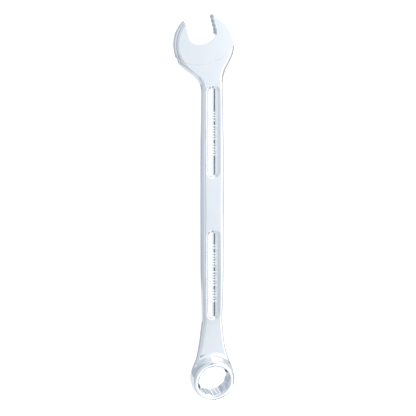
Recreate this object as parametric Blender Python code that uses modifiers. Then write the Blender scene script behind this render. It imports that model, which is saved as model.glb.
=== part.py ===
"""An 18 mm combination wrench: an open end and a 12-point box end on one channelled shank.

The real wrench is a single drop forging. It is modelled here as the three regions that a
toolmaker names: the open end, the shank and the box end, parted by a hairline in each neck.

The dimensions below are in millimetres. They are measured from the middle of the box end's
bore, with +Y along the shank to the open end, +X to the right and +Z up from the shank's mid
plane. At the end everything moves so that the origin is under the middle of the wrench, on the
surface that it lies on.
"""

import math

import bmesh
import bpy
from mathutils import Matrix, Vector

MM = 0.001

# Sizes that the nut sets
ACROSS_FLATS = 18.0
FLAT_CLEARANCE = 0.15
SPAN = ACROSS_FLATS + FLAT_CLEARANCE

# Shank
SHANK_HALF_THICKNESS = 3.5
EDGE_RADIUS = 1.0
CHANNEL_HALF_WIDTH = 4.4
CHANNEL_DEPTH = 1.45
CHANNEL_FLOOR_RADIUS = 11.0
CHANNELS = ((37.7, 95.6), (129.3, 189.2))

# Outline of the forged bar: y, left x, right x, underside z, top z, swell of the sides
BAR = (
    (4.0, -13.4, 11.8, 1.8, 6.4, 0.8),
    (10.0, -12.3, 10.5, 1.6, 6.2, 0.8),
    (15.0, -10.9, 9.1, 0.5, 5.8, 1.0),
    (21.0, -9.3, 7.9, -1.4, 5.0, 1.2),
    (29.0, -7.9, 7.1, -2.9, 4.1, 1.4),
    (37.0, -6.95, 6.65, -3.4, 3.6, 1.4),
    (49.0, -7.1, 7.1, -3.5, 3.5, 1.4),
    (73.0, -7.6, 7.6, -3.5, 3.5, 1.3),
    (145.0, -7.6, 7.6, -3.5, 3.5, 1.3),
    (173.0, -7.3, 7.3, -3.5, 3.5, 1.4),
    (185.0, -7.2, 7.0, -3.5, 3.5, 1.4),
    (189.3, -7.8, 6.9, -3.6, 3.6, 1.4),
    (194.3, -11.1, 7.5, -3.8, 3.8, 2.4),
    (199.5, -17.7, 9.1, -4.0, 4.0, 3.0),
    (204.7, -22.5, 11.9, -4.1, 4.1, 3.0),
    (209.8, -23.5, 14.0, -4.2, 4.2, 2.6),
    (215.0, -22.9, 14.7, -4.2, 4.2, 1.9),
    (221.0, -22.2, 13.3, -4.2, 4.2, 1.4),
)

# Open end: its own axis leans 15 degrees to the left of the shank
HEAD_CENTRE = (-5.1, 215.1)
HEAD_TURN = math.radians(15)
HEAD_HALF_WIDTH = 19.75
HEAD_OFFSET = -0.55  # of the oval from the middle of the jaws, which makes the short jaw the thicker
HEAD_HALF_LENGTH = 22.3
HEAD_HALF_THICKNESS = 4.5
HEAD_EDGE_RADIUS = 0.6
HEAD_SWELL = 1.4
FACE_ARC_RADIUS = 27.0
FACE_ARC_BOTTOM = -11.2
THROAT_RADIUS = 11.7
THROAT_BOTTOM = 1.7
GRIP_GROOVE_RADIUS = 0.7
GRIP_GROOVE_DEPTH = 0.25
GRIP_GROOVES = (8.6, 11.5, 14.4, 17.3)

# Box end: its bore leans 15 degrees away from the shank
BOX_TILT = math.radians(15)
BOX_CENTRE_X = -1.0
BARREL_RADIUS = 14.1
BARREL_FACE_RADIUS = 13.3
BARREL_HEIGHT = 11.6
BARREL_DROP = BARREL_HEIGHT / 2 * math.cos(BOX_TILT) + BARREL_FACE_RADIUS * math.sin(BOX_TILT)
BOX_CENTRE_Z = BARREL_DROP - HEAD_HALF_THICKNESS  # both ends rest on the same surface
BORE_CORNER_RADIUS = 10.4
BORE_MOUTH_RADIUS = 10.9
BORE_POINTS = 12

# Where the three regions part, and the hairline between them
BOX_NECK = 32.5
OPEN_NECK = 193.0
HAIRLINE = 0.3

# Roundness of the curved faces
CORNER_STEPS = 3
SIDE_STEPS = 6
NECK_STEP = 2.6
SHANK_STEP = 12.0
ROUND_SEGMENTS = 64

CHROME_COLOUR = (0.74, 0.77, 0.81, 1.0)
CHROME_ROUGHNESS = 0.2


def clear_scene():
    for obj in list(bpy.data.objects):
        bpy.data.objects.remove(obj, do_unlink=True)


def new_collection(name):
    collection = bpy.data.collections.new(name)
    bpy.context.scene.collection.children.link(collection)
    return collection


def chrome():
    material = bpy.data.materials.new("satin_chrome")
    material.use_nodes = True
    shader = material.node_tree.nodes["Principled BSDF"]
    shader.inputs["Base Color"].default_value = CHROME_COLOUR
    shader.inputs["Metallic"].default_value = 1.0
    shader.inputs["Roughness"].default_value = CHROME_ROUGHNESS
    return material


def mesh_object(name, bm, collection):
    bmesh.ops.recalc_face_normals(bm, faces=bm.faces)
    mesh = bpy.data.meshes.new(name)
    bm.to_mesh(mesh)
    bm.free()
    obj = bpy.data.objects.new(name, mesh)
    collection.objects.link(obj)
    return obj


def as_mesh(obj):
    """Bakes an object's modifiers or curve into a welded mesh object at the same place."""
    bpy.context.view_layer.update()
    evaluated = obj.evaluated_get(bpy.context.evaluated_depsgraph_get())
    mesh = bpy.data.meshes.new_from_object(evaluated)
    bm = bmesh.new()
    bm.from_mesh(mesh)
    bmesh.ops.transform(bm, matrix=obj.matrix_world, verts=bm.verts)
    bmesh.ops.remove_doubles(bm, verts=bm.verts, dist=0.002 * MM)
    name, collection = obj.name, obj.users_collection[0]
    bpy.data.objects.remove(obj, do_unlink=True)
    return mesh_object(name, bm, collection)


def prism(name, outline, low, high, collection):
    """A closed flat outline, in millimetres, extruded from one height to another."""
    curve = bpy.data.curves.new(name, "CURVE")
    curve.dimensions = "2D"
    curve.fill_mode = "BOTH"
    curve.extrude = (high - low) / 2 * MM
    spline = curve.splines.new("POLY")
    spline.points.add(len(outline) - 1)
    for point, (x, y) in zip(spline.points, outline):
        point.co = (x * MM, y * MM, 0, 1)
    spline.use_cyclic_u = True
    obj = bpy.data.objects.new(name, curve)
    obj.location.z = (high + low) / 2 * MM
    collection.objects.link(obj)
    return as_mesh(obj)


def cylinder(name, radii, height, collection):
    """A round solid about Z; two different radii make a cone, the first at the bottom."""
    bm = bmesh.new()
    bmesh.ops.create_cone(
        bm,
        cap_ends=True,
        segments=ROUND_SEGMENTS,
        radius1=radii[0] * MM,
        radius2=radii[1] * MM,
        depth=height * MM,
    )
    return mesh_object(name, bm, collection)


def round_rim(obj, radius):
    bevel = obj.modifiers.new("rim", "BEVEL")
    bevel.width = radius * MM
    bevel.segments = 3
    bevel.limit_method = "ANGLE"
    bevel.angle_limit = math.radians(60)
    return as_mesh(obj)


def combine(obj, other, operation):
    modifier = obj.modifiers.new(operation.lower(), "BOOLEAN")
    modifier.operation = operation
    modifier.solver = "EXACT"
    modifier.object = other
    result = as_mesh(obj)
    bpy.data.objects.remove(other, do_unlink=True)
    return result


def arc(centre, radius, start, end, steps):
    """Points on a circle's arc, with angles in degrees."""
    angles = [math.radians(start + (end - start) * i / steps) for i in range(steps + 1)]
    return [
        (centre[0] + radius * math.cos(a), centre[1] + radius * math.sin(a)) for a in angles
    ]


def slope(table, column, i):
    """The curve's slope at one station, flat at a peak so that nothing overshoots."""
    if i in (0, len(table) - 1):
        return 0.0
    before = (table[i][column] - table[i - 1][column]) / (table[i][0] - table[i - 1][0])
    after = (table[i + 1][column] - table[i][column]) / (table[i + 1][0] - table[i][0])
    if before * after <= 0:
        return 0.0
    return 2 * before * after / (before + after)


def along(table, y):
    """Every column of a table of stations, read at y on a smooth curve through them."""
    i = 0
    while i < len(table) - 2 and table[i + 1][0] < y:
        i += 1
    gap = table[i + 1][0] - table[i][0]
    t = (y - table[i][0]) / gap
    values = []
    for column in range(1, len(table[0])):
        start, end = table[i][column], table[i + 1][column]
        rise = (3 - 2 * t) * t * t
        values.append(
            start + (end - start) * rise
            + slope(table, column, i) * gap * t * (1 - t) ** 2
            - slope(table, column, i + 1) * gap * t * t * (1 - t)
        )
    return values


def bar_section(y):
    """The bar's cross-section at y, with swelling sides and rounded edges, as points (x, y, z)."""
    left, right, bottom, top, swell = along(BAR, y)
    middle, half = (bottom + top) / 2, (top - bottom) / 2
    straight = half - EDGE_RADIUS
    heights = [straight * (2 * i / SIDE_STEPS - 1) for i in range(SIDE_STEPS + 1)]
    bow = [swell * (height / half) ** 2 for height in heights]
    centre_right = right - bow[-1] - EDGE_RADIUS
    centre_left = left + bow[-1] + EDGE_RADIUS
    points = [(right - b, middle + h) for b, h in zip(bow, heights)]
    points += arc((centre_right, top - EDGE_RADIUS), EDGE_RADIUS, 0, 90, CORNER_STEPS)[1:]
    points += arc((centre_left, top - EDGE_RADIUS), EDGE_RADIUS, 90, 180, CORNER_STEPS)[:-1]
    points += [(left + b, middle - h) for b, h in zip(bow, heights)]
    points += arc((centre_left, bottom + EDGE_RADIUS), EDGE_RADIUS, 180, 270, CORNER_STEPS)[1:]
    points += arc((centre_right, bottom + EDGE_RADIUS), EDGE_RADIUS, 270, 360, CORNER_STEPS)[:-1]
    return [Vector((x, y, z)) * MM for x, z in points]


def bar_stations():
    """Where the bar has sections: close together in the necks, wide apart on the shank."""
    first, last = BAR[0][0], BAR[-1][0]
    box_neck_end, open_neck_start = 48.0, 180.0
    stations = []
    for start, end, step in (
        (first, box_neck_end, NECK_STEP),
        (box_neck_end, open_neck_start, SHANK_STEP),
        (open_neck_start, last, NECK_STEP),
    ):
        count = math.ceil((end - start) / step)
        stations += [start + (end - start) * i / count for i in range(count)]
    return [*stations, last]


def join_rings(bm, rings):
    """A closed loft through rings that have the same number of points."""
    for ring, following in zip(rings, rings[1:]):
        for i in range(len(ring)):
            j = (i + 1) % len(ring)
            bm.faces.new((ring[i], ring[j], following[j], following[i]))
    bm.faces.new(rings[0])
    bm.faces.new(reversed(rings[-1]))


def oval(bm, half_width, half_length, height):
    """A level ring of points, in millimetres."""
    angles = [2 * math.pi * i / ROUND_SEGMENTS for i in range(ROUND_SEGMENTS)]
    return [
        bm.verts.new(Vector((half_width * math.cos(a), half_length * math.sin(a), height)) * MM)
        for a in angles
    ]


def bar(collection):
    """The shank with both necks: one loft through rounded sections."""
    bm = bmesh.new()
    join_rings(bm, [[bm.verts.new(p) for p in bar_section(y)] for y in bar_stations()])
    return mesh_object("bar", bm, collection)


def place(obj, matrix):
    obj.data.transform(matrix)
    return obj


def head_frame(forward=0.0, sideways=0.0):
    """The open end's own frame, with an optional shift along its axis or across it."""
    centre = Vector((*HEAD_CENTRE, 0)) * MM
    shift = Vector((sideways, forward, 0)) * MM
    return Matrix.Translation(centre) @ Matrix.Rotation(HEAD_TURN, 4, "Z") @ Matrix.Translation(shift)


def box_frame(height=0.0):
    """The box end's own frame, with an optional shift along its bore."""
    centre = Vector((BOX_CENTRE_X, 0, BOX_CENTRE_Z)) * MM
    shift = Vector((0, 0, height)) * MM
    return Matrix.Translation(centre) @ Matrix.Rotation(BOX_TILT, 4, "X") @ Matrix.Translation(shift)


def head_plate(collection):
    """The open end before its jaws are cut: an oval plate whose ground faces end in an arc."""
    bm = bmesh.new()
    rings = []
    for i in range(SIDE_STEPS + 1):
        height = HEAD_HALF_THICKNESS * (2 * i / SIDE_STEPS - 1)
        bow = HEAD_SWELL * (height / HEAD_HALF_THICKNESS) ** 2
        rings.append(oval(bm, HEAD_HALF_WIDTH - bow, HEAD_HALF_LENGTH - bow, height))
    join_rings(bm, rings)
    plate = round_rim(mesh_object("plate", bm, collection), HEAD_EDGE_RADIUS)
    place(plate, head_frame(sideways=HEAD_OFFSET))
    ground = cylinder("ground", (FACE_ARC_RADIUS,) * 2, 4 * HEAD_HALF_THICKNESS, collection)
    place(ground, head_frame(FACE_ARC_BOTTOM + FACE_ARC_RADIUS))
    return combine(plate, ground, "INTERSECT")


def barrel(collection):
    """The box end before its bore is cut: a turned ring blank, fullest at mid height."""
    half = BARREL_HEIGHT / 2
    swell = BARREL_RADIUS - BARREL_FACE_RADIUS
    side_radius = (half**2 + swell**2) / (2 * swell)
    reach = math.degrees(math.asin(half / side_radius))
    side = arc((BARREL_RADIUS - side_radius, 0), side_radius, reach, -reach, 6)
    profile = [(0, half), *side, (0, -half)]
    mesh = bpy.data.meshes.new("barrel")
    points = [(x * MM, 0, z * MM) for x, z in profile]
    mesh.from_pydata(points, [(i, i + 1) for i in range(len(points) - 1)], [])
    obj = bpy.data.objects.new("barrel", mesh)
    collection.objects.link(obj)
    screw = obj.modifiers.new("turn", "SCREW")
    screw.steps = ROUND_SEGMENTS
    screw.render_steps = ROUND_SEGMENTS
    screw.use_merge_vertices = True
    screw.merge_threshold = 0.01 * MM
    return place(as_mesh(obj), box_frame())


def jaw_cutter(collection):
    """The gap between the jaws: parallel sides and a round throat."""
    half = SPAN / 2
    throat_centre = THROAT_BOTTOM + THROAT_RADIUS
    spread = math.degrees(math.asin(half / THROAT_RADIUS))
    outline = arc((0, throat_centre), THROAT_RADIUS, 270 - spread, 270 + spread, 16)
    past_tips = 1.3 * HEAD_HALF_LENGTH
    outline += [(half, past_tips), (-half, past_tips)]
    depth = 2 * HEAD_HALF_THICKNESS
    return place(prism("jaw_cutter", outline, -depth, depth, collection), head_frame())


def groove_cutters(collection):
    """The grip grooves across the long jaw's inner face."""
    cutters = []
    sideways = SPAN / 2 + GRIP_GROOVE_DEPTH - GRIP_GROOVE_RADIUS
    for forward in GRIP_GROOVES:
        groove = cylinder("groove", (GRIP_GROOVE_RADIUS,) * 2, 4 * HEAD_HALF_THICKNESS, collection)
        cutters.append(place(groove, head_frame(forward, sideways)))
    return cutters


def bore_cutters(collection):
    """The 12-point bore, with its corners blunted, and the lead-in cone at each mouth."""
    valley = SPAN / 2 / math.cos(math.pi / BORE_POINTS)
    sharp_corner = SPAN / 2 / math.cos(math.pi / 6)
    # Each corner is cut off square at the blunted radius.
    valley_in = valley * math.cos(math.pi / BORE_POINTS)
    share = (sharp_corner - BORE_CORNER_RADIUS) / (sharp_corner - valley_in)
    blunt = share * valley * math.sin(math.pi / BORE_POINTS)
    outline = []
    for i in range(BORE_POINTS):
        corner = i * 2 * math.pi / BORE_POINTS
        for side_of_corner in (-1, 1):
            angle = corner + side_of_corner * math.atan2(blunt, BORE_CORNER_RADIUS)
            outline.append((BORE_CORNER_RADIUS * math.cos(angle), BORE_CORNER_RADIUS * math.sin(angle)))
        next_valley = corner + math.pi / BORE_POINTS
        outline.append((valley * math.cos(next_valley), valley * math.sin(next_valley)))
    reach = 2 * BARREL_HEIGHT
    cutters = [place(prism("bore_cutter", outline, -reach, reach, collection), box_frame())]
    beyond, depth = 1.0, 2.6
    wide, narrow = BORE_MOUTH_RADIUS + beyond, BORE_MOUTH_RADIUS - depth
    middle = BARREL_HEIGHT / 2 + (beyond - depth) / 2
    for sign, radii in ((1, (narrow, wide)), (-1, (wide, narrow))):
        cone = cylinder("mouth_cutter", radii, beyond + depth, collection)
        cutters.append(place(cone, box_frame(sign * middle)))
    return cutters


def channel_cutter(start, end, side, collection):
    """One sunk channel: round-ended from above, with a hollow-ground floor. side is 1 or -1."""
    half = CHANNEL_HALF_WIDTH
    outline = arc((0, start + half), half, 180, 360, 10) + arc((0, end - half), half, 0, 180, 10)
    slot = prism("channel", outline, SHANK_HALF_THICKNESS / 3, 3 * SHANK_HALF_THICKNESS, collection)
    roller = cylinder("roller", (CHANNEL_FLOOR_RADIUS,) * 2, end - start + 2 * half, collection)
    height = SHANK_HALF_THICKNESS - CHANNEL_DEPTH + CHANNEL_FLOOR_RADIUS
    along_y = Matrix.Rotation(math.pi / 2, 4, "X")
    place(roller, Matrix.Translation(Vector((0, (start + end) / 2, height)) * MM) @ along_y)
    cutter = combine(slot, roller, "INTERSECT")
    if side < 0:
        place(cutter, Matrix.Rotation(math.pi, 4, "Y"))
    return cutter


def forging(collection):
    """The whole wrench as one body, before it is parted into its named regions."""
    body = bar(collection)
    body = combine(body, head_plate(collection), "UNION")
    body = combine(body, barrel(collection), "UNION")
    body = combine(body, jaw_cutter(collection), "DIFFERENCE")
    cutters = groove_cutters(collection) + bore_cutters(collection)
    for start, end in CHANNELS:
        cutters += [channel_cutter(start, end, side, collection) for side in (1, -1)]
    for cutter in cutters:
        body = combine(body, cutter, "DIFFERENCE")
    return body


def region(name, body, low, high, material, parts, helpers):
    """The part of the forging between two planes across its length."""
    slab = prism("slab", [(-50, low), (50, low), (50, high), (-50, high)], -30, 30, helpers)
    mesh = body.data.copy()
    piece = bpy.data.objects.new(name, mesh)
    parts.objects.link(piece)
    piece = combine(piece, slab, "INTERSECT")
    piece.data.name = name
    piece.data.materials.clear()
    piece.data.materials.append(material)
    piece.data.shade_smooth()
    piece.data.set_sharp_from_angle(angle=math.radians(30))
    return piece


def stand_on_origin(pieces):
    """Moves the wrench so that the origin is under its middle, on the surface it lies on."""
    points = [v.co for piece in pieces for v in piece.data.vertices]
    low = Vector([min(p[i] for p in points) for i in range(3)])
    high = Vector([max(p[i] for p in points) for i in range(3)])
    shift = Vector((-(low.x + high.x) / 2, -(low.y + high.y) / 2, -low.z))
    for piece in pieces:
        place(piece, Matrix.Translation(shift))


def build():
    clear_scene()
    parts = new_collection("combination_wrench")
    helpers = new_collection("cutters")
    material = chrome()
    body = forging(helpers)
    gap = HAIRLINE / 2
    pieces = [
        region("box_end", body, -40, BOX_NECK - gap, material, parts, helpers),
        region("shank", body, BOX_NECK + gap, OPEN_NECK - gap, material, parts, helpers),
        region("open_end", body, OPEN_NECK + gap, 280, material, parts, helpers),
    ]
    bpy.data.objects.remove(body, do_unlink=True)
    stand_on_origin(pieces)


build()
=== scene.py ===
"""Looks for the 18 mm combination wrench: one chrome forging, its studio and its camera.

The wrench is described by a distance field in millimetres, negative inside the steel, measured
from the middle of the box end's bore with +Y along the shank and +Z up from the shank's mid plane.
Each of its three stretches becomes a fine mesh of its own, cut flat at the necks, where they meet
face to face.
"""

import math

import bmesh
import bpy
import numpy as np
from mathutils import Matrix, Vector


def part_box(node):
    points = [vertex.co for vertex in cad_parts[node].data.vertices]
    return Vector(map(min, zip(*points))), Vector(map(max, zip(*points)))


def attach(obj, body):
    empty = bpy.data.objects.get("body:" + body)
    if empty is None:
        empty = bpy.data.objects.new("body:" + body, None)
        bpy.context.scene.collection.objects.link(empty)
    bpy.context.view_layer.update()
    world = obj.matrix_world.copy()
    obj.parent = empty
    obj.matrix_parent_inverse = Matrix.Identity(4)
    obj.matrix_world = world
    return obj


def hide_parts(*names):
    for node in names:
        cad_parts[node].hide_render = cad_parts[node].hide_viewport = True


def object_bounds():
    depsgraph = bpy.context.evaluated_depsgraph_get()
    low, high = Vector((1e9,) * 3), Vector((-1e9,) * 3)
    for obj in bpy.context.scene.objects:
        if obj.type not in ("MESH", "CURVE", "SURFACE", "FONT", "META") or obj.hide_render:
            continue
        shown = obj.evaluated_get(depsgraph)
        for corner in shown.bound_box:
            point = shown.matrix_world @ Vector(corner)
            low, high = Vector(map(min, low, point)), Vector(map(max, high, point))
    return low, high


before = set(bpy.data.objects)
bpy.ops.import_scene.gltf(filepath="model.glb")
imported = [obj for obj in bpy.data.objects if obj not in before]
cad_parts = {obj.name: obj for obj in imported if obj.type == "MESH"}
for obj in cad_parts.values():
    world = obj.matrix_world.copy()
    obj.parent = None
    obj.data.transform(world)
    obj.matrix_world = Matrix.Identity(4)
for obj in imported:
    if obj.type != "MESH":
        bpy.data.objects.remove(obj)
cad_low, cad_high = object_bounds()

MM = 0.001

SPAN = 18.15  # between the jaws and across the bore's flats

# Shank and necks: y, left x, right x, underside z, top z, edge radius, swell of the sides
BAR = (
    (4.0, -13.4, 11.8, 1.8, 6.4, 0.8, 0.8),
    (10.0, -12.3, 10.5, 1.6, 6.2, 0.8, 0.8),
    (15.0, -10.9, 9.1, 0.5, 5.8, 0.8, 1.0),
    (21.0, -9.3, 7.9, -1.4, 5.0, 0.8, 1.2),
    (29.0, -7.9, 7.1, -2.9, 4.1, 0.8, 1.4),
    (37.0, -6.95, 6.65, -3.4, 3.6, 0.8, 1.4),
    (49.0, -7.1, 7.1, -3.5, 3.5, 0.8, 1.4),
    (73.0, -7.6, 7.6, -3.5, 3.5, 1.1, 1.3),
    (109.0, -7.6, 7.6, -3.5, 3.5, 1.9, 0.9),
    (145.0, -7.6, 7.6, -3.5, 3.5, 1.2, 1.2),
    (173.0, -7.3, 7.3, -3.5, 3.5, 0.9, 1.4),
    (185.0, -7.2, 7.0, -3.5, 3.5, 0.8, 1.4),
    (189.3, -7.8, 6.9, -3.6, 3.6, 0.8, 1.4),
    (194.3, -11.1, 7.5, -3.8, 3.8, 0.8, 2.4),
    (199.5, -17.7, 9.1, -4.0, 4.0, 0.8, 3.0),
    (204.7, -22.5, 11.9, -4.1, 4.1, 0.8, 3.0),
    (209.8, -23.5, 14.0, -4.2, 4.2, 0.8, 2.6),
    (215.0, -22.9, 14.7, -4.2, 4.2, 0.8, 1.9),
    (221.0, -22.2, 13.3, -4.2, 4.2, 0.8, 1.4),
)
SHANK_HALF_THICKNESS = 3.5
CHANNELS = ((37.7, 95.6), (129.3, 189.2))
CHANNEL_HALF_WIDTH = 4.4
CHANNEL_DEPTH = 1.6
CHANNEL_FLOOR_RADIUS = 11.0
CHANNEL_DRAFT = 1.0
CHANNEL_RIM = 0.14
CHANNEL_FOOT = 0.12

# Plain raised bars where such wrenches carry their lettering: first y, last y
MARKS = ((48.5, 85.5), (143.3, 171.9))
MARK_PITCH = 1.72
MARK_HEIGHT = 0.38
MARK_HALF_WIDTH = 0.15
MARK_HALF_LENGTHS = (0.9, 2.1)  # of a short bar and a long one
MARK_FLANK = 0.6

# Open end
HEAD_CENTRE = (-5.1, 215.1)
HEAD_TURN = math.radians(15)
HEAD_HALF_WIDTH = 19.75
HEAD_OFFSET = -0.55
HEAD_HALF_LENGTH = 22.3
HEAD_HALF_THICKNESS = 4.5
HEAD_EDGE_RADIUS = 0.4
HEAD_SWELL = (0.9, 2.4, 1.1)  # on the long jaw's side, on the other, and more of it low down
HEAD_SWELL_REACH = 12.0  # over which one swell passes into the other
HEAD_BLEND = 0.3
FACE_ARC_RADIUS = 27.0
FACE_ARC_BOTTOM = -11.2
FACE_ARC_EDGE = 0.15
THROAT_RADIUS = 11.7
THROAT_BOTTOM = 1.7
THROAT_CORNER = 1.0
PAST_THROAT = -9  # low enough that only the jaws bound the gap there
JAW_EDGE = 0.2
JAW_TIP = 0.25
LONG_JAW_TIP = 2.2
GROOVES = (8.6, 11.5, 14.4, 17.3)
GROOVE_RADIUS = 0.7
GROOVE_DEPTH = 0.35
GROOVE_BLEND = 0.3

# Box end
BOX_TILT = math.radians(15)
BOX_CENTRE_X = -1.0
BARREL_RADIUS = 14.1
BARREL_FACE_RADIUS = 13.3
BARREL_HALF = 5.8
BOX_CENTRE_Z = (
    BARREL_HALF * math.cos(BOX_TILT) + BARREL_FACE_RADIUS * math.sin(BOX_TILT) - HEAD_HALF_THICKNESS
)
BARREL_EDGE = 1.3
BORE_CORNER_RADIUS = 10.4
BORE_MOUTH_RADIUS = 11.0
BORE_EDGE = 0.2
BORE_RIDGE = 0.15
BORE_CORNER_BLEND = 0.3
NECK_FILLET = 3.0

# Where the three pieces part
BOX_NECK = 32.5
OPEN_NECK = 193.0
HALF_HAIRLINE = 0.15  # the CAD regions stop this far short of each parting

# Steps of the grids that the surface is found on, along X, Y and Z
SHANK_GRID = (0.3, 0.5, 0.3)
END_GRID = (0.24, 0.24, 0.24)
MARK_GRID = 0.2  # along Y, where the channels carry raised bars

# From the field's millimetres to the frame
SHIFT = Vector((
    (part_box("box_end")[0].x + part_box("box_end")[1].x) / 2 - BOX_CENTRE_X * MM,
    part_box("box_end")[1].y - (BOX_NECK - HALF_HAIRLINE) * MM,
    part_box("open_end")[0].z + HEAD_HALF_THICKNESS * MM,
))


# ---------------------------------------------------------------- the forging's shape


def smooth_max(a, b, radius):
    """The larger of two fields, with the edge where they cross rounded off."""
    overlap = np.maximum(radius - np.abs(a - b), 0)
    return np.maximum(a, b) + overlap * overlap / (4 * radius)


def smooth_min(a, b, radius):
    return -smooth_max(-a, -b, radius)


def along(y):
    """The bar's left, right, underside, top, edge radius and swell at y, on a curve through its stations."""
    table = np.array(BAR)
    at, values = table[:, 0], table[:, 1:]
    gaps = np.diff(at)
    rises = np.diff(values, axis=0) / gaps[:, None]
    product, total = rises[:-1] * rises[1:], rises[:-1] + rises[1:]
    slopes = np.zeros_like(values)
    slopes[1:-1] = np.where(product > 0, 2 * product / np.where(total == 0, 1, total), 0)
    i = np.clip(np.searchsorted(at, y, side="right") - 1, 0, len(gaps) - 1)
    t = np.clip((y - at[i]) / gaps[i], 0, 1)
    ease = (3 - 2 * t) * t * t
    return [
        values[i, c] * (1 - ease) + values[i + 1, c] * ease
        + slopes[i, c] * gaps[i] * t * (1 - t) ** 2
        - slopes[i + 1, c] * gaps[i] * t * t * (1 - t)
        for c in range(values.shape[1])
    ]


def bar(x, y, z):
    """The shank with both necks: a block with swelling sides that follow the stations."""
    left, right, bottom, top, radius, swell = along(y)
    height, half = z - (bottom + top) / 2, (top - bottom) / 2
    across = np.abs(x - (left + right) / 2) - (right - left) / 2 + radius
    across = across + swell * (height / half) ** 2
    up = np.abs(height) - half + radius
    side = np.hypot(np.maximum(across, 0), np.maximum(up, 0)) + np.minimum(np.maximum(across, up), 0)
    return np.maximum(side - radius, np.maximum(BAR[0][0] - y, y - BAR[-1][0]))


def marks(x, y):
    """How far each plain bar stands up from the channel floor, from 0 to 1."""
    level = 0
    for first, last in MARKS:
        for i in range(round((last - first) / MARK_PITCH)):
            short, gap = i % 3 == 1, i % 7 == 5
            if gap:
                continue
            half_length = MARK_HALF_LENGTHS[0] if short else MARK_HALF_LENGTHS[1]
            middle = first + (i + 0.5) * MARK_PITCH
            outside = np.hypot(np.maximum(np.abs(x) - half_length, 0), y - middle) - MARK_HALF_WIDTH
            level = np.maximum(level, np.clip(0.5 - outside / MARK_FLANK, 0, 1))
    return level * level * (3 - 2 * level)


def channels(x, y, z):
    """Every sunk channel: round-ended from above, with a hollow floor, on both faces."""
    half, height = CHANNEL_HALF_WIDTH, np.abs(z)
    centre = SHANK_HALF_THICKNESS - CHANNEL_DEPTH + CHANNEL_FLOOR_RADIUS
    floor = np.hypot(x, height - centre) - CHANNEL_FLOOR_RADIUS
    floor = floor + MARK_HEIGHT * marks(x, y)
    plans = [np.hypot(x, y - np.clip(y, a + half, b - half)) - half for a, b in CHANNELS]
    walls = np.minimum(*plans) + CHANNEL_DRAFT * (SHANK_HALF_THICKNESS - height)
    return smooth_max(walls / math.hypot(1, CHANNEL_DRAFT), floor, CHANNEL_FOOT)


def head_axes(x, y):
    """Distances across and along the open end's own axis."""
    dx, dy = x - HEAD_CENTRE[0], y - HEAD_CENTRE[1]
    across = dx * math.cos(HEAD_TURN) + dy * math.sin(HEAD_TURN)
    forward = dy * math.cos(HEAD_TURN) - dx * math.sin(HEAD_TURN)
    return across, forward


def jaw_gap(across, forward):
    """The gap between the jaws, with the grip grooves in the long jaw's wall."""
    middle = THROAT_BOTTOM + THROAT_RADIUS
    throat = np.where(forward < middle, np.hypot(across, forward - middle) - THROAT_RADIUS, PAST_THROAT)
    gap = smooth_max(np.abs(across) - SPAN / 2, throat, THROAT_CORNER)
    for place in GROOVES:
        centre = SPAN / 2 + GROOVE_DEPTH - GROOVE_RADIUS
        groove = np.hypot(across - centre, forward - place) - GROOVE_RADIUS
        gap = smooth_min(gap, groove, GROOVE_BLEND)
    return gap


def head(x, y, z):
    """The open end's plate, with rounded jaw tips and a raised face that ends in an arc."""
    across, forward = head_axes(x, y)
    aside = across - HEAD_OFFSET
    near = np.hypot(aside / HEAD_HALF_WIDTH, forward / HEAD_HALF_LENGTH)
    steep = np.hypot(aside / HEAD_HALF_WIDTH**2, forward / HEAD_HALF_LENGTH**2)
    rim = near * (near - 1) / np.maximum(steep, 1e-6)
    left, low = np.clip(0.5 - aside / HEAD_SWELL_REACH, 0, 1), np.clip(-forward / HEAD_SWELL_REACH, 0, 1)
    swell = HEAD_SWELL[0] + left * (HEAD_SWELL[1] - HEAD_SWELL[0] + HEAD_SWELL[2] * low)
    rim = rim + swell * (z / HEAD_HALF_THICKNESS) ** 2
    blunt = np.where(across > 0, LONG_JAW_TIP, JAW_TIP)
    tips = smooth_max(rim, -jaw_gap(across, forward), blunt)
    out = rim + HEAD_EDGE_RADIUS
    up = np.abs(z) - HEAD_HALF_THICKNESS + HEAD_EDGE_RADIUS
    plate = np.hypot(np.maximum(out, 0), np.maximum(up, 0)) + np.minimum(np.maximum(out, up), 0)
    ground = np.hypot(across, forward - FACE_ARC_BOTTOM - FACE_ARC_RADIUS) - FACE_ARC_RADIUS
    return np.maximum(smooth_max(plate - HEAD_EDGE_RADIUS, ground, FACE_ARC_EDGE), tips)


def box_axes(x, y, z):
    """Distance from the bore's axis, height along it and the direction round it."""
    x = x - BOX_CENTRE_X
    rise = z - BOX_CENTRE_Z
    up = rise * math.cos(BOX_TILT) - y * math.sin(BOX_TILT)
    back = y * math.cos(BOX_TILT) + rise * math.sin(BOX_TILT)
    return np.hypot(x, back), up, np.arctan2(back, x)


def barrel(radius, up):
    """The box end's outer shape: a ring blank that is fullest at mid height."""
    swell = BARREL_RADIUS - BARREL_FACE_RADIUS
    side_radius = (BARREL_HALF**2 + swell**2) / (2 * swell)
    side = np.hypot(radius - BARREL_RADIUS + side_radius, up) - side_radius
    return smooth_max(side, np.abs(up) - BARREL_HALF, BARREL_EDGE)


def bore(radius, up, angle):
    """The 12-point bore: two hexagons, blunted corners, and a lead-in cone at each mouth."""
    sector = math.pi / 3
    hexagons = []
    for turn in (0, sector / 2):
        from_flat = (angle - turn + sector / 2) % sector - sector / 2
        hexagons.append(radius * np.cos(from_flat) - SPAN / 2)
    points = smooth_min(*hexagons, BORE_RIDGE)
    points = smooth_max(points, radius - BORE_CORNER_RADIUS, BORE_CORNER_BLEND)
    mouth = (radius - BORE_MOUTH_RADIUS + BARREL_HALF - np.abs(up)) / math.sqrt(2)
    return np.minimum(points, mouth)


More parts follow.
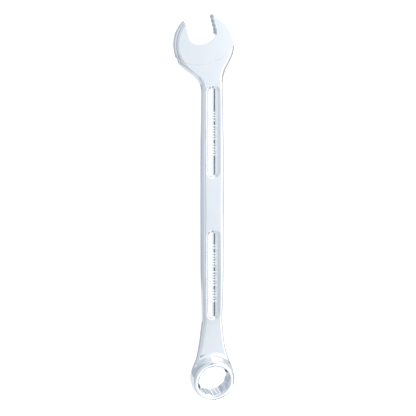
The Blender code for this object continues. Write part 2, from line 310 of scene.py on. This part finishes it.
def forging(x, y, z):
    """The whole wrench."""
    shank = smooth_max(bar(x, y, z), -channels(x, y, z), CHANNEL_RIM)
    across, forward = head_axes(x, y)
    open_end = smooth_max(
        smooth_min(shank, head(x, y, z), HEAD_BLEND), -jaw_gap(across, forward), JAW_EDGE
    )
    radius, up, angle = box_axes(x, y, z)
    ring = smooth_min(open_end, barrel(radius, up), NECK_FILLET)
    return smooth_max(ring, -bore(radius, up, angle), BORE_EDGE)


# ---------------------------------------------------------------- from the field to a mesh

SETTLE_ROUNDS = 3
LEAST_SLOPE_SQUARED = 0.05
LONGEST_MOVE = 0.15
MOST_SIDES = 8  # of a face on the surface; only the parting faces have more


def crossings(inside, axis):
    """Where the surface passes between neighbours along one axis of a grid."""
    low = np.take(inside, range(inside.shape[axis] - 1), axis)
    high = np.take(inside, range(1, inside.shape[axis]), axis)
    return low != high


def ticks_along_shank(low, high, step):
    """Grid lines along Y, closer together where the channels carry raised bars."""
    stops = [low - step, *(y for stretch in MARKS for y in (stretch[0] - 1, stretch[1] + 1)), high + step]
    lines = []
    for i, (start, end) in enumerate(zip(stops, stops[1:])):
        spacing = MARK_GRID if i % 2 else step
        lines.append(np.linspace(start, end, round((end - start) / spacing), endpoint=False))
    return np.concatenate([*lines, [stops[-1]]])


def surface_net(low, high, step, marked):
    """Points and quads of the forging's surface inside a box, on a grid that is finer at the marks."""
    ticks = [np.arange(low[k] - step[k], high[k] + 2 * step[k], step[k]) for k in range(3)]
    if marked:
        ticks[1] = ticks_along_shank(low[1], high[1], step[1])
    x, y, z = np.meshgrid(*ticks, indexing="ij", sparse=True)
    field = forging(x, y, z)
    inside = field < 0
    cells = tuple(n - 1 for n in field.shape)
    total, count = np.zeros((*cells, 3)), np.zeros(cells)
    for axis in range(3):
        where = np.argwhere(crossings(inside, axis))
        f0 = field[tuple(where.T)]
        ahead = where.copy()
        ahead[:, axis] += 1
        f1 = field[tuple(ahead.T)]
        point = where.astype(float)
        point[:, axis] += f0 / (f0 - f1)
        others = [k for k in range(3) if k != axis]
        for i in (0, 1):
            for j in (0, 1):
                cell = where.copy()
                cell[:, others[0]] -= i
                cell[:, others[1]] -= j
                fits = np.all((cell >= 0) & (cell < cells), axis=1)
                index = tuple(cell[fits].T)
                np.add.at(total, index, point[fits])
                np.add.at(count, index, 1)
    used = count > 0
    number = np.full(cells, -1)
    number[used] = np.arange(used.sum())
    index = total[used] / count[used][:, None]
    points = np.stack([np.interp(index[:, k], np.arange(len(ticks[k])), ticks[k]) for k in range(3)], axis=1)
    quads = []
    for axis in range(3):
        where = np.argwhere(crossings(inside, axis))
        others = [(axis + 1) % 3, (axis + 2) % 3]
        where = where[np.all((where[:, others] > 0) & (where[:, others] < np.array(cells)[others]), axis=1)]
        corners = []
        for i, j in ((1, 1), (0, 1), (0, 0), (1, 0)):
            cell = where.copy()
            cell[:, others[0]] -= i
            cell[:, others[1]] -= j
            corners.append(number[tuple(cell.T)])
        quad = np.stack(corners, axis=1)
        leaving = inside[tuple(where.T)]
        quad[~leaving] = quad[~leaving][:, ::-1]
        quads.append(quad)
    return points, np.concatenate(quads)


def slope(points):
    """The field's value and gradient at points."""
    reach = 0.01
    x, y, z = points.T
    gradient = np.stack([
        forging(x + reach * dx, y + reach * dy, z + reach * dz)
        - forging(x - reach * dx, y - reach * dy, z - reach * dz)
        for dx, dy, dz in ((1, 0, 0), (0, 1, 0), (0, 0, 1))
    ], axis=1) / (2 * reach)
    return forging(x, y, z), gradient


def settle(points):
    """Points moved onto the forging's surface."""
    for _ in range(SETTLE_ROUNDS):
        value, gradient = slope(points)
        length_squared = np.maximum((gradient**2).sum(axis=1), LEAST_SLOPE_SQUARED)
        move = np.clip(value / length_squared, -LONGEST_MOVE, LONGEST_MOVE)
        points = points - move[:, None] * gradient
    return points


def forged_piece(name, low, high, step, planes):
    """One stretch of the forging as a closed object; planes are (y, keep the side above it)."""
    points, quads = surface_net(low, high, step, marked=step is SHANK_GRID)
    points = settle(points)
    mesh = bpy.data.meshes.new(name)
    mesh.from_pydata(points.tolist(), [], quads.tolist())
    bm = bmesh.new()
    bm.from_mesh(mesh)
    for y, above in planes:
        geometry = bm.verts[:] + bm.edges[:] + bm.faces[:]
        cut = bmesh.ops.bisect_plane(
            bm,
            geom=geometry,
            dist=1e-5,
            plane_co=(0, y, 0),
            plane_no=(0, 1, 0),
            clear_inner=above,
            clear_outer=not above,
        )
        rim = [e for e in cut["geom_cut"] if isinstance(e, bmesh.types.BMEdge)]
        bmesh.ops.contextual_create(bm, geom=rim)
    bmesh.ops.recalc_face_normals(bm, faces=bm.faces)
    bm.to_mesh(mesh)
    bm.free()
    shade(mesh)
    mesh.transform(Matrix.Translation(SHIFT) @ Matrix.Diagonal((MM, MM, MM, 1)))
    piece = bpy.data.objects.new(name, mesh)
    bpy.context.scene.collection.objects.link(piece)
    return piece


def shade(mesh):
    """Smooth shading with the field's own normals, and flat normals on the parting faces."""
    mesh.shade_smooth()
    count = len(mesh.vertices)
    points = np.zeros(count * 3)
    mesh.vertices.foreach_get("co", points)
    _, gradient = slope(points.reshape(-1, 3))
    gradient /= np.linalg.norm(gradient, axis=1)[:, None]
    corner = np.zeros(len(mesh.loops), int)
    mesh.loops.foreach_get("vertex_index", corner)
    normals = gradient[corner]
    for face in mesh.polygons:
        if len(face.vertices) > MOST_SIDES:
            normals[face.loop_start : face.loop_start + face.loop_total] = face.normal
    mesh.normals_split_custom_set(normals)


# ---------------------------------------------------------------- materials


def add(tree, kind, **inputs):
    """A node with its inputs set by name; a value may be a constant or another node's output."""
    node = tree.nodes.new(kind)
    for name, value in inputs.items():
        by_number = name[0] == "i" and name[1:].isdigit()
        socket = node.inputs[int(name[1:]) if by_number else name.replace("_", " ")]
        if isinstance(value, bpy.types.NodeSocket):
            tree.links.new(value, socket)
        else:
            socket.default_value = value
    return node


def calc(tree, operation, a, b=0.0):
    node = add(tree, "ShaderNodeMath", i0=a, i1=b)
    node.operation = operation
    return node.outputs[0]


def ramp(tree, value, stops):
    """A colour ramp from (place, colour) stops."""
    node = add(tree, "ShaderNodeValToRGB", i0=value)
    elements = node.color_ramp.elements
    while len(elements) < len(stops):
        elements.new(1.0)
    for element, (place, colour) in zip(elements, stops):
        element.position = place
        element.color = (*colour, 1)
    return node.outputs[0]


def noise(tree, place, stretch, detail=3.0):
    """Noise from 0 to 1 with its own number of waves a millimetre along each axis."""
    scaled = add(tree, "ShaderNodeVectorMath", i0=place, i1=tuple(n / MM for n in stretch))
    scaled.operation = "MULTIPLY"
    node = add(tree, "ShaderNodeTexNoise", Vector=scaled.outputs[0], Scale=1.0, Detail=detail)
    return node.outputs["Factor" if "Factor" in node.outputs else "Fac"]


NOISE_LOW, NOISE_HIGH = 0.3, 0.7  # the part of the noise's range that is used


def spread(tree, value, low, high):
    """Noise stretched to run from low to high."""
    node = add(tree, "ShaderNodeMapRange", Value=value)
    node.inputs["From Min"].default_value = NOISE_LOW
    node.inputs["From Max"].default_value = NOISE_HIGH
    node.inputs["To Min"].default_value = low
    node.inputs["To Max"].default_value = high
    return node.outputs[0]


# Heights of the chrome's relief in millimetres
RIPPLE_HEIGHT = 0.0040
PEEL_HEIGHT = 0.0007
LINE_HEIGHT = 0.00012


def chrome():
    """Satin chrome over a polished forging: soft ripple, fine polishing lines, uneven gloss."""
    material = bpy.data.materials.new("satin_chrome")
    material.use_nodes = True
    tree = material.node_tree
    shader = tree.nodes["Principled BSDF"]
    shader.inputs["Metallic"].default_value = 1.0
    place = add(tree, "ShaderNodeTexCoord").outputs["Object"]
    ripple = noise(tree, place, (0.35, 0.2, 0.35), 2.0)
    peel = noise(tree, place, (1.6, 1.2, 1.6), 2.0)
    lines = noise(tree, place, (9.0, 0.12, 9.0), 4.0)
    patches = noise(tree, place, (0.12, 0.07, 0.12), 3.0)
    colour = ramp(tree, patches, [(0.3, (0.855, 0.885, 0.925)), (0.7, (0.885, 0.905, 0.935))])
    tree.links.new(colour, shader.inputs["Base Color"])
    gloss = calc(tree, "ADD", spread(tree, lines, 0.055, 0.10), spread(tree, patches, -0.01, 0.02))
    tree.links.new(gloss, shader.inputs["Roughness"])
    height = calc(tree, "MULTIPLY", ripple, RIPPLE_HEIGHT)
    height = calc(tree, "ADD", height, calc(tree, "MULTIPLY", peel, PEEL_HEIGHT))
    height = calc(tree, "ADD", height, calc(tree, "MULTIPLY", lines, LINE_HEIGHT))
    bump = add(tree, "ShaderNodeBump", Height=height, Strength=1.0, Distance=MM)
    tree.links.new(bump.outputs[0], shader.inputs["Normal"])
    return material


# ---------------------------------------------------------------- studio


def emitter(name, strength):
    """A material that only shines; strength is a colour or a function of the node tree."""
    material = bpy.data.materials.new(name)
    material.use_nodes = True
    tree = material.node_tree
    tree.nodes.clear()
    colour = strength(tree) if callable(strength) else (*strength, 1)
    light = add(tree, "ShaderNodeEmission", Color=colour)
    output = add(tree, "ShaderNodeOutputMaterial")
    tree.links.new(light.outputs[0], output.inputs["Surface"])
    return material


SCREEN_FACET = 4  # degrees


def screen(name, radius, angles, reach, strength):
    """A curved sheet round the wrench's long axis that only its reflections show.

    Angles are in degrees from straight up, positive to the right; reach is its span along Y.
    """
    steps = max(2, round((angles[1] - angles[0]) / SCREEN_FACET))
    points = []
    for i in range(steps + 1):
        angle = math.radians(angles[0] + (angles[1] - angles[0]) * i / steps)
        points += [(radius * math.sin(angle), y, radius * math.cos(angle)) for y in reach]
    faces = [(2 * i, 2 * i + 1, 2 * i + 3, 2 * i + 2) for i in range(steps)]
    mesh = bpy.data.meshes.new(name)
    mesh.from_pydata(points, [], faces)
    mesh.shade_smooth()
    mesh.materials.append(emitter(name, strength))
    sheet = bpy.data.objects.new(name, mesh)
    bpy.context.scene.collection.objects.link(sheet)
    sheet.visible_camera = False
    sheet.visible_diffuse = False
    sheet.visible_shadow = False
    sheet.visible_transmission = False


def tent_light(tree):
    """The tent's brightness: bands round the long axis, times a slow change along it."""
    place = add(tree, "ShaderNodeNewGeometry").outputs["Position"]
    parts = add(tree, "ShaderNodeSeparateXYZ", Vector=place).outputs
    around = calc(tree, "ARCTAN2", parts["X"], parts["Z"])
    turn = calc(tree, "ADD", calc(tree, "MULTIPLY", around, 1 / (2 * math.pi)), 0.5)
    bands = ramp(tree, turn, [((angle + 180) / 360, colour) for angle, colour in BANDS])
    share = calc(tree, "ADD", calc(tree, "MULTIPLY", parts["Y"], 1 / (2 * TENT_REACH)), 0.5)
    lengthwise = ramp(tree, share, [(y / (2 * TENT_REACH) + 0.5, colour) for y, colour in LENGTHWISE])
    node = add(tree, "ShaderNodeVectorMath", i0=bands, i1=lengthwise)
    node.operation = "MULTIPLY"
    return node.outputs[0]


TENT_RADIUS = 0.35
TENT_REACH = 1.6
FIRST_CARD_INSIDE = 0.004
CARD_SPACING = 0.001
# The tent's brightness round the long axis: degrees from straight up, positive to the right, and colour
BANDS = (
    (-180, (0.80, 0.82, 0.85)),
    (-150, (0.76, 0.79, 0.83)),
    (-140, (0.55, 0.59, 0.64)),
    (-128, (0.42, 0.46, 0.51)),
    (-118, (0.50, 0.54, 0.59)),
    (-110, (0.76, 0.80, 0.86)),
    (-98, (0.76, 0.80, 0.86)),
    (-91, (0.46, 0.50, 0.56)),
    (-85, (0.44, 0.48, 0.54)),
    (-79, (0.72, 0.76, 0.82)),
    (-70, (0.72, 0.76, 0.82)),
    (-60, (0.56, 0.60, 0.66)),
    (-50, (0.66, 0.70, 0.76)),
    (-38, (0.72, 0.76, 0.82)),
    (-32, (0.80, 0.84, 0.89)),
    (-2, (0.84, 0.88, 0.93)),
    (13, (0.87, 0.91, 0.955)),
    (18, (1.00, 1.04, 1.08)),
    (23, (1.35, 1.35, 1.35)),
    (70, (1.35, 1.35, 1.35)),
    (78, (0.76, 0.75, 0.74)),
    (127, (0.74, 0.74, 0.74)),
    (134, (1.05, 1.05, 1.05)),
    (180, (1.00, 1.01, 1.03)),
)
# What the bands are multiplied by along the tent: Y and colour
LENGTHWISE = (
    (-1.6, (1.15, 1.15, 1.15)),
    (-0.3, (1.10, 1.10, 1.10)),
    (-0.2, (0.86, 0.86, 0.85)),
    (-0.12, (0.90, 0.90, 0.89)),
    (-0.04, (1.0, 1.0, 1.0)),
    (0.1, (1.05, 1.05, 1.04)),
    (1.6, (1.2, 1.2, 1.2)),
)
# Cards inside the tent: name, angles round the long axis, reach along it, brightness; a later one is in front
CARDS = (
    ("slit", (0.5, 8.5), (-0.145, 0.035), (0.14, 0.14, 0.15)),
    ("far_end", (26, 127), (-1.6, -0.5), (0.45, 0.48, 0.54)),
    ("left_shade", (-176, -150), (-0.125, -0.01), (0.43, 0.48, 0.55)),
    ("jaw_shade", (-180, -160), (-0.04, 0.125), (0.40, 0.44, 0.52)),
    ("throat_light", (-180, -158), (0.125, 0.3), (1.15, 1.15, 1.15)),
    ("right_outline", (130, 178), (-0.15, 0.1), (0.78, 0.76, 0.75)),
    ("ring_light", (78, 165), (-0.5, -0.155), (0.92, 0.93, 0.95)),
    ("channel_wall", (97, 127), (-0.19, 0.03), (0.52, 0.54, 0.57)),
    ("arc_line", (38, 80), (-0.37, -0.19), (0.40, 0.41, 0.44)),
    ("arc_line_left", (-60, -24), (-0.4, -0.2), (0.50, 0.53, 0.58)),
    ("neck_light", (-180, -118), (-1.6, -0.118), (0.84, 0.87, 0.91)),
    ("neck_line", (-102, -82), (-1.6, -0.118), (0.44, 0.48, 0.54)),
    ("lead_in_light", (78, 100), (-0.16, -0.06), (0.95, 0.96, 0.98)),
    ("bore_right", (-168.5, -165.8), (-0.19, -0.15), (0.45, 0.51, 0.60)),
    ("bore_low_right", (-165.5, -158), (0.155, 0.2), (0.42, 0.48, 0.57)),
    ("bore_low", (152, 163.8), (0.13, 0.19), (0.70, 0.75, 0.81)),
    ("bore_low_left", (144, 157), (-0.07, 0.0), (0.72, 0.76, 0.82)),
    ("bore_ridge_right", (-160, -150), (0.03, 0.15), (0.26, 0.33, 0.45)),
    ("bore_ridge_left", (148, 160), (0.02, 0.125), (0.26, 0.33, 0.45)),
)


def studio():
    """Even light from all round, and a light tent with dark and light cards that the chrome mirrors."""
    world = bpy.data.worlds.new("studio")
    bpy.context.scene.world = world
    world.use_nodes = True
    world.node_tree.nodes["Background"].inputs["Color"].default_value = (1.0, 1.0, 1.0, 1)
    screen("tent", TENT_RADIUS, (-180, 180), (-TENT_REACH, TENT_REACH), tent_light)
    for i, (name, angles, reach, brightness) in enumerate(CARDS):
        screen(name, TENT_RADIUS - FIRST_CARD_INSIDE - CARD_SPACING * i, angles, reach, brightness)


FLOOR_SIZE = 6
FLOOR_DROP = 0.0002


def pale_floor():
    """A plain floor that the wrench lies on; the chrome mirrors the studio and not the floor."""
    bpy.ops.mesh.primitive_plane_add(size=FLOOR_SIZE, location=(0, 0, -FLOOR_DROP))
    floor = bpy.context.object
    floor.name = "floor"
    material = bpy.data.materials.new("pale_floor")
    material.use_nodes = True
    shader = material.node_tree.nodes["Principled BSDF"]
    shader.inputs["Base Color"].default_value = (0.9, 0.9, 0.9, 1)
    shader.inputs["Roughness"].default_value = 0.9
    shader.inputs["Emission Color"].default_value = (1, 1, 1, 1)
    shader.inputs["Emission Strength"].default_value = 0.6
    floor.data.materials.append(material)
    floor.visible_glossy = False


CAMERA_TURN = math.radians(14.5)
CAMERA_LEAN = math.radians(9.5)
CAMERA_DISTANCE = 0.8
CAMERA_RIGHT, CAMERA_UP = 0.00155, -0.0005  # of the middle of the wrench
FRAME_WIDTH = 0.26624


def camera():
    """Looks down on the wrench, from its left and a little from the open end's side."""
    back = Vector((
        -math.sin(CAMERA_TURN) * math.cos(CAMERA_LEAN),
        math.sin(CAMERA_LEAN),
        math.cos(CAMERA_TURN) * math.cos(CAMERA_LEAN),
    ))
    data = bpy.data.cameras.new("camera")
    data.type = "ORTHO"
    data.ortho_scale = FRAME_WIDTH
    eye = bpy.data.objects.new("camera", data)
    bpy.context.scene.collection.objects.link(eye)
    middle = (cad_low + cad_high) / 2
    right = Vector((0, 1, 0)).cross(back).normalized()
    up = back.cross(right)
    place = middle + right * CAMERA_RIGHT + up * CAMERA_UP + back * CAMERA_DISTANCE
    eye.matrix_world = Matrix.Translation(place) @ Matrix((right, up, back)).transposed().to_4x4()
    bpy.context.scene.camera = eye


LOWEST = -5
# Name, node, box to search (half width, first y, last y, top), grid, and where it is parted: y, keep above
PIECES = (
    ("chrome_box_end", "box_end", (15, -15, BOX_NECK, 14), END_GRID, [(BOX_NECK, False)]),
    (
        "chrome_shank", "shank", (15, BOX_NECK, OPEN_NECK, 6), SHANK_GRID,
        [(BOX_NECK, True), (OPEN_NECK, False)],
    ),
    ("chrome_open_end", "open_end", (26, OPEN_NECK, 238, 6), END_GRID, [(OPEN_NECK, True)]),
)

material = chrome()
for name, node, (half_width, start, end, top), step, planes in PIECES:
    piece = forged_piece(name, (-half_width, start, LOWEST), (half_width, end, top), step, planes)
    piece.data.materials.append(material)
    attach(piece, "root")
    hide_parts(node)
    print(name, len(piece.data.polygons), "faces")

studio()
pale_floor()
camera()
bpy.context.scene.view_settings.view_transform = "Standard"
